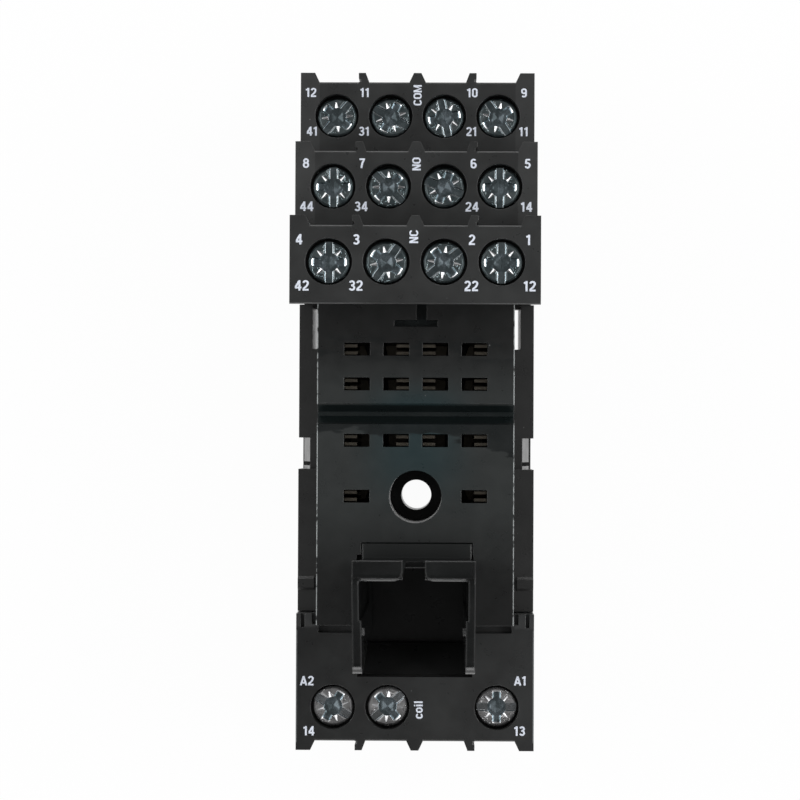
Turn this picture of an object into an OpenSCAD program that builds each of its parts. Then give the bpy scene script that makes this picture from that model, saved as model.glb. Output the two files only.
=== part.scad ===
// Fourteen-pin, four-pole relay socket for a 35 mm rail: a two-part moulded housing with stepped
// screw-terminal tiers, stamped pole and coil contacts, rising clamp cages and a pivoting retaining clip.
// +X is to the right of the socket, +Y towards its COM terminals, +Z towards the relay. The back is at z = 0.

/* [Housing] */
// Width over the side faces
socket_w = 27; // [26:0.5:31]
// Height at which the upper housing meets the base
split_z = 5.9; // [5.9:0.1:6.4]
// Thickness of the base side walls beside the deck
side_wall_t = 2.3; // [2:0.1:2.6]
// Gap between a base side wall and the upper housing
side_wall_gap = 0.12; // [0.05:0.01:0.2]
// Height of the base side walls towards the terminal tiers
side_wall_z = 16.7; // [15:0.1:17.5]
// Height of the base side walls towards the coil block
side_wall_low_z = 17.8; // [16:0.1:18.5]
// Radius on the front edges of the blocks
edge_r = 0.3; // [0.1:0.05:0.5]

/* [Terminal tiers] */
// Height of the COM tier
com_z = 16.4; // [15.8:0.1:18]
// Rise from one tier to the next
tier_rise = 11; // [10.5:0.1:12]
// Length of a tier
tier_pitch = 9.14; // [9:0.02:9.4]
// Length of the NC tier, down to the relay bay
nc_l = 8.5; // [8.2:0.05:9]
// How far the foot of the relay bay's end wall is set back under the NC tier
end_lean = 1.7; // [0:0.1:1.7]
// Housing left outside the four columns of terminals on each side
side_margin = 1.1; // [0.9:0.05:1.3]
// Distance from a tier's wire face to its screws
screw_inset = 3.95; // [3.7:0.05:4.1]
// How far the barrier ribs stand out from the wire faces
rib_out = 1.05; // [0.6:0.05:1.5]
// Width of a wire entry
entry_w = 3.8; // [3:0.1:4.2]
// Height of a wire entry
entry_h = 2.6; // [2.2:0.1:3]

/* [Coil block] */
// Height of the coil block
coil_z = 20.9; // [20:0.1:22]
// Length of the coil block
coil_l = 12.27; // [12:0.01:13.5]
// Length of the block's side cheeks beyond its front edge
cheek_l = 2.15; // [1.6:0.05:2.4]
// Depth of the two pockets in each cheek
cheek_pocket_d = 0.9; // [0.5:0.1:2]
// Width of the groove at the foot of the deck
foot_groove_w = 1.08; // [0.8:0.02:1.3]
// Depth of the groove at the foot of the deck
foot_groove_d = 1.0; // [0.6:0.1:2]

/* [Terminal screws] */
// Radius of a screw head
head_r = 2.3; // [2.1:0.05:2.35]
// Height of a screw head
head_h = 1.6; // [1.4:0.1:1.8]
// Radius of a screw shank
shank_r = 1.45; // [1.3:0.05:1.5]
// Radius of the well that a head sits in
screw_well_r = 2.53; // [2.45:0.01:2.7]
// How far a head lies below its tier
head_recess = 1.0; // [0.6:0.1:1.2]
// Thickness of the floor that a head rests on
screw_floor_t = 0.6; // [0.5:0.05:0.8]
// Width of the driver slot
slot_w = 1.05; // [0.8:0.05:1.2]
// Depth of the driver slot
slot_d = 0.8; // [0.6:0.05:1]

/* [Clamp cages] */
// Width of a cage
cage_w = 4.9; // [4.5:0.05:4.95]
// Length of a cage along the wire
cage_l = 4.55; // [4.4:0.05:4.7]
// Thickness of a cage's sides and floor
cage_t = 0.7; // [0.6:0.05:0.8]
// Thickness of a cage's threaded top
cage_top_t = 1.0; // [0.9:0.05:1.1]
// Lift of a cage from open to closed
clamp_travel = 2.0; // [1.6:0.1:2]
// Opening for the wire with the cage down
wire_gap = 2.3; // [2.2:0.05:2.4]

/* [Contacts] */
// Thickness of the contact strip
strip_t = 0.8; // [0.6:0.05:0.9]
// Width of the strip at a terminal
bar_w = 2.9; // [2.5:0.05:3]
// Width of the strip below a relay pin
foot_w = 2.2; // [1.8:0.05:2.6]
// Thickness of a fork leaf
leaf_t = 0.36; // [0.3:0.02:0.42]
// Width of a fork leaf
leaf_w = 1.4; // [1.2:0.05:1.4]
// Gap between the two leaves of a fork
fork_gap = 0.46; // [0.4:0.02:0.5]
// Distance from the deck down to the tip of a fork
fork_depth = 1.5; // [0.6:0.05:1.8]
// Height of the lowest strips
strip_z = 7.2; // [7.1:0.05:7.4]
// Rise from one layer of strips to the next
strip_rise = 3; // [2.6:0.1:3.2]

/* [Relay bay] */
// Height of the deck that the relay stands on
deck_z = 24.8; // [24:0.1:25.5]
// Length of the relay case
relay_l = 27.7; // [27.4:0.1:28]
// Gap between the relay case and the bay's end wall
relay_gap = 0.13; // [0.05:0.01:0.3]
// Length between the relay case and the coil block, where the clip stands
clip_room = 8.62; // [8.4:0.02:10]
// Height of the relay case
relay_h = 35.6; // [34:0.2:37]
// Distance between neighbouring relay pins across the socket
pin_pitch = 4.4; // [4.3:0.05:4.5]
// Length of a pin slot across the socket
pin_slot_w = 2.9; // [2.85:0.05:3.1]
// Width of a pin slot along the socket
pin_slot_l = 1.45; // [1.3:0.05:1.6]
// Distance from the relay bay's end wall to the NC pins
nc_pin_y = 4.37; // [4.2:0.05:4.6]
// Distance from the NC pins to the NO pins
no_pin_step = 3.91; // [3.8:0.05:4.1]
// Distance from the NO pins to the COM pins
com_pin_step = 6.34; // [6.2:0.05:6.5]
// Distance from the COM pins to the coil pins
coil_pin_step = 6.26; // [6.1:0.05:6.4]

/* [Mounting] */
// Radius of the fixing screw's hole
fix_r = 1.75; // [1.6:0.05:2]
// Radius of the well for the fixing screw's head
fix_head_r = 2.95; // [2.7:0.05:3.2]
// Height of the ledge that the fixing screw's head bears on
fix_ledge_z = 12.2; // [11:0.2:14]
// Distance from the relay bay's end wall to the fixing hole
fix_y = 20.93; // [20.6:0.05:21.2]
// Width of the rail
rail_w = 35; // [35]
// Depth of the rail channel
rail_depth = 4.5; // [4.3:0.1:4.5]
// Thickness of the space for the rail's flange
flange_gap = 1.2; // [1.1:0.05:1.4]
// How far the hooks reach over the rail's flanges
hook_reach = 1.4; // [1.2:0.1:1.8]

/* [Rail latch] */
// Width of the latch
latch_w = 11; // [9:0.5:12]
// Thickness of the latch's plate
latch_t = 2.4; // [2.3:0.05:2.5]
// Travel of the latch
latch_travel = 2.2; // [1.8:0.1:2.4]
// Running gap around the latch
latch_gap = 0.1; // [0.05:0.01:0.12]
// Length of the latch spring
spring_l = 8; // [7:0.5:9]
// Outer radius of the latch spring
spring_r = 1; // [0.9:0.05:1]
// Radius of the spring's wire
spring_wire_r = 0.16; // [0.12:0.02:0.2]
// Turns of the latch spring
spring_turns = 7; // [5:1:9]

/* [Retaining clip] */
// Width over the clip's side plates
clip_w = 12.3; // [11.8:0.1:12.6]
// Thickness of the side plates
clip_plate_t = 0.95; // [0.8:0.05:1.1]
// Thickness of the side plates beside the web
clip_thin_t = 0.72; // [0.6:0.02:0.8]
// Thickness of the web
web_t = 0.72; // [0.6:0.02:0.9]
// Depth of the clip at its top
clip_depth = 10.3; // [9:0.1:11]
// Thickness of the hooks over the relay
hook_t = 1.3; // [1:0.1:1.6]
// How far the hooks reach over the relay
hook_over = 1.3; // [1:0.1:1.8]
// How far the clip's foot reaches under the relay
foot_over = 1.65; // [1.4:0.05:1.8]
// Gap between the two hooks
hook_gap = 2.2; // [1.6:0.1:2.8]
// Corner radius of the hooks beside that gap
hook_corner_r = 1.0; // [0.5:0.1:1.4]
// Radius of the clip's pivot pins
pivot_r = 1.5; // [1.2:0.05:1.7]
// Clearance of a pivot pin in its bore
pivot_gap = 0.05; // [0.02:0.01:0.08]
// Height of the pivot
pivot_z = 14; // [13.6:0.1:14.4]
// Distance of the pivot behind the web's front
pivot_back = 6.1; // [5.9:0.05:6.3]
// Gap between the clip's side plates and the sides of its well
clip_side_gap = 0.4; // [0.3:0.05:0.6]
// How far the clip stands to the right of the middle within that gap
clip_play = 0.2; // [0:0.05:0.25]

/* [Hidden] */
socket_l = 2 * tier_pitch + nc_l + relay_gap + relay_l + clip_room + coil_l;
terminal_pitch = (socket_w - 2 * side_margin) / 4;
top_y = socket_l / 2;
bottom_y = -socket_l / 2;
no_y = top_y - tier_pitch;
nc_y = no_y - tier_pitch;
bay_y = nc_y - nc_l;
no_z = com_z + tier_rise;
nc_z = no_z + tier_rise;
block_y = bottom_y + coil_l;
cheek_y = block_y + cheek_l;
deck_w = socket_w - 2 * (side_wall_t + side_wall_gap);
deck_end_y = bay_y + end_lean + 0.3;
side_wall_end = bay_y + end_lean * (nc_z - side_wall_z) / (nc_z - split_z) - side_wall_gap;
// Distance from the side face, width and length of each pocket in a cheek
cheek_pockets = [[0.54, 0.41, 1.55], [1.79, 0.46, 1.2]];
poles = [0:3];
function pole_x(k, pitch) = (k - 1.5) * pitch;
coil_terminals = [-1.5 * terminal_pitch, -0.5 * terminal_pitch, 1.5 * terminal_pitch];

// Clamp stack, measured down from the face of a tier
seat_gap = 0.05;
bar_down = head_recess + head_h + seat_gap + screw_floor_t + seat_gap + cage_top_t + clamp_travel
    + seat_gap + seat_gap;
well_depth = head_recess + head_h + seat_gap;
cage_drop = strip_t + wire_gap + cage_t;
shank_hole_r = shank_r + 0.3;
chamber_gap = 0.1;

// Pin rows and the depths of their strips
pin_row_y = [bay_y - nc_pin_y, bay_y - nc_pin_y - no_pin_step, bay_y - nc_pin_y - no_pin_step - com_pin_step];
coil_pin_y = pin_row_y[2] - coil_pin_step;
row_layer_z = [strip_z + 2 * strip_rise, strip_z + strip_rise, strip_z];
row_face_z = [nc_z, no_z, com_z];
row_edge_y = [nc_y, no_y, top_y];
riser_back = 3.45;
bar_front = 2.3;
foot_back = 0.75;
cavity_gap = 0.05;
slot_sink = 0.2;
fix_hole_y = bay_y - fix_y;

// Relay bay and retaining clip
web_y = bay_y - relay_gap - relay_l;
pivot_y = web_y - pivot_back;
bay_top_z = deck_z + relay_h + 0.1;
clip_top_z = bay_top_z + hook_t;
toe_top_z = deck_z - 0.05;
toe_t = 1.3;
toe_y = web_y + hook_over;
foot_y = web_y + foot_over;
foot_gap = 0.12;
// Height at which the web's slot between the hooks begins
slot_foot_z = deck_z + 8;
well_w = clip_w + 2 * clip_side_gap;
well_floor_z = 9.5;
well_foot_y = web_y - 10.4;
well_end_y = web_y - 13.6;
well_ledge_z = 17.5;
pin_reach = 1.2;
boss_r = 2.7;

// Notch and slit of the base side walls: the notch's face leans in by notch_deep - notch_in over notch_slope_h
notch_in = 0.42;
notch_deep = 1.28;
notch_slope_h = 4.2;
notch_step_y = 0.4;
notch_step_l = 0.45;
slit_l = 4.1;
slit_w = 0.8;

// Rail channel and latch
rail_half = rail_w / 2 + 0.2;
lip_top_z = rail_depth - flange_gap;
latch_top_z = lip_top_z;
latch_bottom_z = latch_top_z - latch_t;
latch_nose_y = -rail_w / 2 + hook_reach;
latch_tail_y = bottom_y - 0.95;
rail_lip_w = 1.1;
spring_y = latch_nose_y - 5.4;
spring_pocket_w = 2 * spring_r + 0.4;
spring_post_l = 1.5;
spring_z = latch_top_z - spring_r - 0.05;
spring_floor_z = latch_top_z - 2 * spring_r - 0.25;

// Driver slot angles as left by the last turn of a driver
com_turns = [50, -28, -78, -57];
no_turns = [90, -45, -20, -50];
nc_turns = [90, 55, 38, 90];
coil_turns = [-30, 40, 0];

com_names = ["41", "31", "21", "11"];
no_names = ["44", "34", "24", "14"];
nc_names = ["42", "32", "22", "12"];
coil_names = ["a2", "a2_link", "a1"];
terminal_names = concat(nc_names, no_names, com_names, coil_names);
terminal_places = concat(
    [for (k = poles) [pole_x(k, terminal_pitch), nc_y - screw_inset, nc_z, nc_turns[k]]],
    [for (k = poles) [pole_x(k, terminal_pitch), no_y - screw_inset, no_z, no_turns[k]]],
    [for (k = poles) [pole_x(k, terminal_pitch), top_y - screw_inset, com_z, com_turns[k]]],
    [for (k = [0:2]) [coil_terminals[k], bottom_y + screw_inset - 0.1, coil_z, coil_turns[k]]]);
pole_names = [nc_names, no_names, com_names];

plastic = [0.13, 0.14, 0.145];
clip_plastic = [0.11, 0.115, 0.12];
zinc = [0.68, 0.72, 0.76];
tin = [0.78, 0.77, 0.72];
steel = [0.62, 0.62, 0.6];

// Points of an arc about (x, y), from angle a0 to a1
function arc(x, y, r, a0, a1, steps = 5) =
    [for (i = [0:steps]) let (a = a0 + (a1 - a0) * i / steps) [x + r * cos(a), y + r * sin(a)]];

// A block between two corners, grown by g on every side
module block(low, high, g = 0) {
    translate([low[0] - g, low[1] - g, low[2] - g])
        cube([high[0] - low[0] + 2 * g, high[1] - low[1] + 2 * g, high[2] - low[2] + 2 * g]);
}

// A side profile drawn in Y and Z, extruded across the socket from x0 to x1
module across(x0, x1) {
    translate([x0, 0, 0]) rotate([90, 0, 90]) linear_extrude(x1 - x0) children();
}

// A plan drawn in X and Y, extruded from z0 to z1
module upright(z0, z1) {
    translate([0, 0, z0]) linear_extrude(z1 - z0) children();
}

module both_sides() {
    children();
    mirror([1, 0, 0]) children();
}

// One stamped contact for a terminal row facing side (+1 towards COM, -1 towards the coil end).
// g grows it into its cavity.
module strip(x_pin, y_pin, x_end, y_end, z_low, z_bar, side, knee_y, g = 0) {
    back = y_end - side * riser_back;
    foot = y_pin - side * foot_back;
    mirrored = side < 0 ? 1 : 0;
    mirror([0, mirrored, 0]) {
        y_foot = side * foot;
        y_knee = side * knee_y;
        y_back = side * back;
        y_far = y_back + strip_t;
        upright(z_low - g, z_low + strip_t + g)
            polygon([
                [x_pin - foot_w / 2 - g, y_foot - g], [x_pin + foot_w / 2 + g, y_foot - g],
                [x_end + bar_w / 2 + g, y_knee], [x_end + bar_w / 2 + g, y_far + g],
                [x_end - bar_w / 2 - g, y_far + g], [x_end - bar_w / 2 - g, y_knee]]);
        block([x_end - bar_w / 2, y_back, z_low], [x_end + bar_w / 2, y_far, z_bar], g);
        block([x_end - bar_w / 2, y_back, z_bar - strip_t],
              [x_end + bar_w / 2, side * y_end + bar_front, z_bar], g);
    }
}

// The two leaves that grip one relay pin, on the outer or inner half of its slot
module fork(x_pin, y_pin, z_strip) {
    half = x_pin < 0 ? (x_pin < -pin_pitch ? -1 : 1) : (x_pin > pin_pitch ? 1 : -1);
    x_mid = x_pin + half * (pin_slot_w / 2 - leaf_w / 2 - cavity_gap);
    for (way = [-1, 1])
        block([x_mid - leaf_w / 2, y_pin + way * (fork_gap + leaf_t) / 2 - leaf_t / 2,
               z_strip + strip_t - slot_sink + cavity_gap],
              [x_mid + leaf_w / 2, y_pin + way * (fork_gap + leaf_t) / 2 + leaf_t / 2, deck_z - fork_depth]);
}

module pole_strip(row, k, g = 0) {
    y_end = row_edge_y[row] - screw_inset;
    strip(pole_x(k, pin_pitch), pin_row_y[row], pole_x(k, terminal_pitch), y_end, row_layer_z[row],
          row_face_z[row] - bar_down, 1, y_end - riser_back - 0.4, g);
}

module coil_strip(way, g = 0) {
    y_end = bottom_y + screw_inset - 0.1;
    strip(way * 1.5 * pin_pitch, coil_pin_y, way * 1.5 * terminal_pitch, y_end, strip_z,
          coil_z - bar_down, -1, coil_pin_y - 5, g);
    if (way < 0) {
        z_bar = coil_z - bar_down;
        back = y_end + riser_back;
        block([-1.5 * terminal_pitch, back - strip_t, z_bar - 2.5 * strip_t],
              [-0.5 * terminal_pitch + bar_w / 2, back, z_bar], g);
        block([-0.5 * terminal_pitch - bar_w / 2, y_end - bar_front, z_bar - strip_t],
              [-0.5 * terminal_pitch + bar_w / 2, back, z_bar], g);
    }
}

module pole_contact(row, k) {
    color(tin) union() {
        pole_strip(row, k);
        fork(pole_x(k, pin_pitch), pin_row_y[row], row_layer_z[row]);
    }
}

module coil_contact(way) {
    color(tin) union() {
        coil_strip(way);
        fork(way * 1.5 * pin_pitch, coil_pin_y, strip_z);
    }
}

// Screw well, shank hole, cage chamber and wire entry of one terminal; the wire comes in from the side given
module terminal_room(place, side) {
    x = place[0];
    y = place[1];
    z = place[2];
    z_bar = z - bar_down;
    translate([x, y, z - well_depth]) cylinder(r = screw_well_r, h = well_depth + 1, $fn = 48);
    translate([x, y, z - well_depth - screw_floor_t - 0.5])
        cylinder(r = shank_hole_r, h = screw_floor_t + 1, $fn = 32);
    block([x - cage_w / 2 - chamber_gap, y - cage_l / 2 - chamber_gap, z_bar - cage_drop - seat_gap],
          [x + cage_w / 2 + chamber_gap, y + cage_l / 2 + chamber_gap, z - well_depth - screw_floor_t]);
    entry_z = z_bar - strip_t - wire_gap / 2;
    y_out = y + side * (screw_inset + 1);
    block([x - entry_w / 2, min(y, y_out), entry_z - entry_h / 2],
          [x + entry_w / 2, max(y, y_out), entry_z + entry_h / 2]);
}

// Barrier ribs on a wire face: wide corner ribs, two half-sloped ribs and a centre rib
module barrier_ribs(y_face, side, z0, z1) {
    root = 0.4;
    half = socket_w / 2;
    translate([0, y_face, 0]) mirror([0, side < 0 ? 1 : 0, 0]) {
        both_sides() {
            upright(z0, z1) polygon([[-half, -root], [-half + 2.15, -root], [-half + 2.15, 0],
                                     [-half + 1.65, rib_out], [-half, rib_out]]);
            upright(z0, z1) translate([-terminal_pitch, 0])
                polygon([[-0.6, -root], [0.6, -root], [0.6, 0], [0.2, rib_out], [-0.6, rib_out],
                         [-0.6, 0.42 * rib_out], [-0.35, 0.3 * rib_out], [-0.35, 0], [-0.6, 0]]);
        }
        upright(z0, z1) polygon([[-0.93, -root], [0.93, -root], [0.93, 0], [0.43, rib_out],
                                 [-0.43, rib_out], [-0.93, 0]]);
    }
}

// Stepped side profile of the three terminal tiers
module tier_profile() {
    e = edge_r;
    polygon(concat(
        [[bay_y + end_lean, split_z], [top_y, split_z]],
        arc(top_y - e, com_z - e, e, 0, 90), [[no_y, com_z]],
        arc(no_y - e, no_z - e, e, 0, 90), [[nc_y, no_z]],
        arc(nc_y - e, nc_z - e, e, 0, 90),
        arc(bay_y + e, nc_z - e, e, 90, 180)));
}

// Side profile of the coil block
module coil_profile() {
    e = edge_r;
    polygon(concat(
        [[block_y, split_z], [block_y, coil_z]],
        arc(bottom_y + e, coil_z - e, e, 90, 180), [[bottom_y, split_z]]));
}

// Side profile of the cheeks beside the foot of the deck
module cheek_profile() {
    polygon([[block_y - 1, split_z], [cheek_y, split_z], [cheek_y, coil_z], [block_y - 1, coil_z]]);
}

// Side profile of the well that the retaining clip swings in
module well_profile() {
    polygon([
        [web_y + 0.4, deck_z + 1], [web_y + 0.4, well_floor_z + 3], [web_y - 1.5, well_floor_z],
        [well_foot_y, well_floor_z], [well_foot_y, well_floor_z + 2.5],
        [well_end_y, well_ledge_z], [well_end_y, deck_z + 1]]);
}

// Cross groove of the deck, drawn in Y and Z
module groove_profile() {
    depth = 2.0;
    half_top = 1.17;
    half_floor = 0.25;
    y_mid = pin_row_y[1] - 3.35;
    polygon([[y_mid - half_top, deck_z + 1], [y_mid - half_top, deck_z], [y_mid - half_floor, deck_z - depth],
             [y_mid + half_floor, deck_z - depth], [y_mid + half_top, deck_z], [y_mid + half_top, deck_z + 1]]);
}

module deck_slots() {
    for (row = [0:2]) for (k = poles)
        block([pole_x(k, pin_pitch) - pin_slot_w / 2, pin_row_y[row] - pin_slot_l / 2,
               row_layer_z[row] + strip_t - slot_sink],
              [pole_x(k, pin_pitch) + pin_slot_w / 2, pin_row_y[row] + pin_slot_l / 2, deck_z + 1]);
    for (way = [-1, 1])
        block([way * 1.5 * pin_pitch - pin_slot_w / 2, coil_pin_y - pin_slot_l / 2, strip_z + strip_t - slot_sink],
              [way * 1.5 * pin_pitch + pin_slot_w / 2, coil_pin_y + pin_slot_l / 2, deck_z + 1]);
    bar_y = bay_y - 1.1;
    block([-2.45, bar_y - 0.72, deck_z - 1.2], [2.45, bar_y, deck_z + 1]);
    block([0.05, bar_y - 0.1, deck_z - 1.2], [1.2, bay_y + 0.75, deck_z + 1]);
}

module upper_housing() {
    color(plastic) difference() {
        union() {
            across(-socket_w / 2, socket_w / 2) tier_profile();
            across(-deck_w / 2, deck_w / 2)
                polygon([[block_y - 1, split_z], [deck_end_y, split_z],
                         [deck_end_y, deck_z], [block_y + foot_groove_w, deck_z],
                         [block_y + foot_groove_w, coil_z - foot_groove_d], [block_y, coil_z - foot_groove_d],
                         [block_y, coil_z], [block_y - 1, coil_z]]);
            across(-socket_w / 2, socket_w / 2) coil_profile();
            both_sides() difference() {
                across(-socket_w / 2, -deck_w / 2 + 0.1) cheek_profile();
                for (p = cheek_pockets)
                    block([-socket_w / 2 + p[0], cheek_y - p[2], coil_z - cheek_pocket_d],
                          [-socket_w / 2 + p[0] + p[1], cheek_y + 1, coil_z + 1]);
            }
            barrier_ribs(top_y, 1, split_z, com_z);
            barrier_ribs(no_y, 1, com_z - 1, no_z);
            barrier_ribs(nc_y, 1, no_z - 1, nc_z);
            barrier_ribs(bottom_y, -1, split_z, coil_z);
        }
        for (i = [0:len(terminal_places) - 1]) terminal_room(terminal_places[i], i < 12 ? 1 : -1);
        for (row = [0:2]) for (k = poles) pole_strip(row, k, cavity_gap);
        for (way = [-1, 1]) coil_strip(way, cavity_gap);
        deck_slots();
        across(-deck_w / 2 - 1, deck_w / 2 + 1) groove_profile();
        across(-well_w / 2, well_w / 2) well_profile();
        translate([clip_play, 0, 0])
            block([-clip_w / 2 - foot_gap, web_y - 0.5, toe_top_z - toe_t - 2 * foot_gap],
                  [clip_w / 2 + foot_gap, foot_y + foot_gap, deck_z + 1]);
        translate([-socket_w / 2 + 3, pivot_y, pivot_z]) rotate([0, 90, 0])
            translate([0, 0, socket_w / 2 - 3 - well_w / 2 - pin_reach])
                cylinder(r = pivot_r + pivot_gap, h = well_w + 2 * pin_reach, $fn = 48);
        translate([0, fix_hole_y, fix_ledge_z]) cylinder(r = fix_head_r, h = deck_z, $fn = 64);
        translate([0, fix_hole_y, split_z - 1]) cylinder(r = fix_r, h = fix_ledge_z, $fn = 48);
    }
}

// Side wall of the base with its snap notch, beads and slots
module base_side_wall() {
    inner = socket_w / 2 - side_wall_t;
    outer = socket_w / 2;
    notch_y0 = pin_row_y[2] - 3.3;
    notch_y1 = pin_row_y[2] + 0.3;
    bead_y = cheek_y + 2.5;
    difference() {
        union() {
            across(inner, outer)
                polygon([[cheek_y + side_wall_gap, split_z - 1], [side_wall_end, split_z - 1],
                         [side_wall_end, side_wall_z], [notch_y1, side_wall_z],
                         [notch_y0, side_wall_z], [notch_y0, side_wall_low_z],
                         [cheek_y + side_wall_gap, side_wall_low_z]]);
            across(inner + 0.4, outer)
                polygon([[bead_y, split_z - 1], [bead_y + 1.6, split_z - 1],
                         [bead_y + 1.6, side_wall_low_z], [bead_y + 1.3, side_wall_low_z + 0.35],
                         [bead_y + 0.3, side_wall_low_z + 0.35], [bead_y, side_wall_low_z]]);
        }
        block([outer - notch_in, notch_y0, split_z + 0.6], [outer + 1, notch_y1, side_wall_low_z + 1]);
        translate([0, notch_y1, 0]) rotate([90, 0, 0]) linear_extrude(notch_y1 - notch_y0)
            polygon([[outer - notch_in, side_wall_z - notch_slope_h], [outer, side_wall_z - notch_slope_h],
                     [outer, side_wall_low_z + 1], [outer - notch_deep, side_wall_low_z + 1],
                     [outer - notch_deep, side_wall_z]]);
        block([outer - notch_deep, notch_y0 + notch_step_y, split_z + 0.6],
              [outer, notch_y0 + notch_step_y + notch_step_l, side_wall_low_z + 1]);
        block([inner - 1, bay_y - slit_l, split_z - 2], [inner + slit_w, side_wall_end + 1, side_wall_z + 1]);
    }
}

// Underside of the base: the channel for the rail with its fixed hook
module rail_channel() {
    across(-socket_w / 2 - 1, socket_w / 2 + 1)
        polygon([[-rail_half, -1], [rail_half - hook_reach, -1], [rail_half - hook_reach, lip_top_z],
                 [rail_half, lip_top_z], [rail_half, rail_depth], [-rail_half, rail_depth]]);
}

// Cross-section of the latch's plate, drawn in X and Z and grown by g: a plate with a narrower keel
module latch_section(g) {
    polygon([
        [-latch_w / 2 - g, latch_bottom_z + 0.8 - g], [-latch_w / 2 - g, latch_top_z + g],
        [latch_w / 2 + g, latch_top_z + g], [latch_w / 2 + g, latch_bottom_z + 0.8 - g],
        [latch_w / 2 - rail_lip_w + g, latch_bottom_z + 0.8 - g],
        [latch_w / 2 - rail_lip_w + g, latch_bottom_z - g],
        [-latch_w / 2 + rail_lip_w - g, latch_bottom_z - g],
        [-latch_w / 2 + rail_lip_w - g, latch_bottom_z + 0.8 - g]]);
}

// The latch's section run from y0 up to y1
module latch_run(y0, y1, g = 0) {
    translate([0, y1, 0]) rotate([90, 0, 0]) linear_extrude(y1 - y0) latch_section(g);
}

module base_housing() {
    color(plastic) difference() {
        union() {
            upright(0, split_z) polygon([
                [-socket_w / 2, bottom_y], [socket_w / 2, bottom_y],
                [socket_w / 2, top_y], [-socket_w / 2, top_y]]);
            both_sides() base_side_wall();
        }
        rail_channel();
        difference() {
            union() {
                latch_run(bottom_y - 1, -rail_half + 1, latch_gap);
                block([-latch_w / 2 + rail_lip_w - latch_gap, bottom_y - 1, -1],
                      [latch_w / 2 - rail_lip_w + latch_gap, -rail_half + 1, latch_bottom_z + 0.5]);
            }
            block([-spring_r * 0.8, spring_y - spring_l - spring_post_l, spring_floor_z + 0.25],
                  [spring_r * 0.8, spring_y - spring_l, split_z]);
        }
        block([-3.4, bottom_y - 1, latch_top_z], [3.4, bottom_y + 3.6, split_z + 1]);
        translate([0, fix_hole_y, 0]) cylinder(r = fix_r, h = split_z + 1, $fn = 48);
        both_sides() block([socket_w / 2 - side_wall_t - 0.1, bay_y - slit_l, -1],
                           [socket_w / 2 - side_wall_t + slit_w, side_wall_end, split_z + 1]);
    }
}

module rail_latch() {
    nose = -rail_half - 0.1;
    color(clip_plastic) difference() {
        union() {
            latch_run(latch_tail_y, nose);
            across(-latch_w / 2, latch_w / 2)
                polygon([[nose - 1, latch_bottom_z + 0.8], [nose, latch_bottom_z + 0.8],
                         [latch_nose_y, latch_top_z - 0.7], [latch_nose_y, latch_top_z],
                         [nose - 1, latch_top_z]]);
        }
        block([-spring_pocket_w / 2, spring_y - spring_l - spring_post_l - 0.3, spring_floor_z],
              [spring_pocket_w / 2, spring_y, latch_top_z + 1]);
        block([-2.2, bottom_y + 0.7, -1], [2.2, bottom_y + 1.9, latch_top_z + 1]);
    }
}

// Helical compression spring along Y, with a ring of points swept round the helix
module latch_spring() {
    sides = 8;
    per_turn = 14;
    coil_r = spring_r - spring_wire_r;
    run = spring_l - 2 * spring_wire_r;
    steps = spring_turns * per_turn;
    rings = [for (i = [0:steps]) let (a = 360 * i / per_turn, c = [sin(a), cos(a)])
        [for (j = [0:sides - 1]) let (b = 360 * j / sides, r = coil_r + spring_wire_r * cos(b))
            [r * c[0], spring_y - spring_wire_r - run * i / steps - spring_wire_r * sin(b), spring_z + r * c[1]]]];
    points = [for (ring = rings) for (p = ring) p];
    faces = concat(
        [[for (j = [0:sides - 1]) j]],
        [for (i = [0:steps - 1]) for (j = [0:sides - 1])
            [i * sides + j, (i + 1) * sides + j, (i + 1) * sides + (j + 1) % sides, i * sides + (j + 1) % sides]],
        [[for (j = [sides - 1:-1:0]) steps * sides + j]]);
    color(steel) polyhedron(points, faces, convexity = 6);
}

// Side profile of one clip plate, from its pivot boss up to the sloping top
module clip_plate_profile() {
    back_y = web_y - clip_depth;
    corner = 1.6;
    nose = 1.0;
    polygon(concat(
        [[pivot_y + 2.2, pivot_z - 1.2], [web_y, pivot_z + 5], [web_y, clip_top_z - hook_t]],
        arc(web_y - nose, clip_top_z - nose, nose, 0, 90),
        arc(back_y + corner, clip_top_z - 4.4 - corner, corner, 105, 180),
        [[back_y, clip_top_z - 12], [web_y - 8.7, deck_z + 5], [pivot_y - 2.4, pivot_z - 0.8]]));
}

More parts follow.
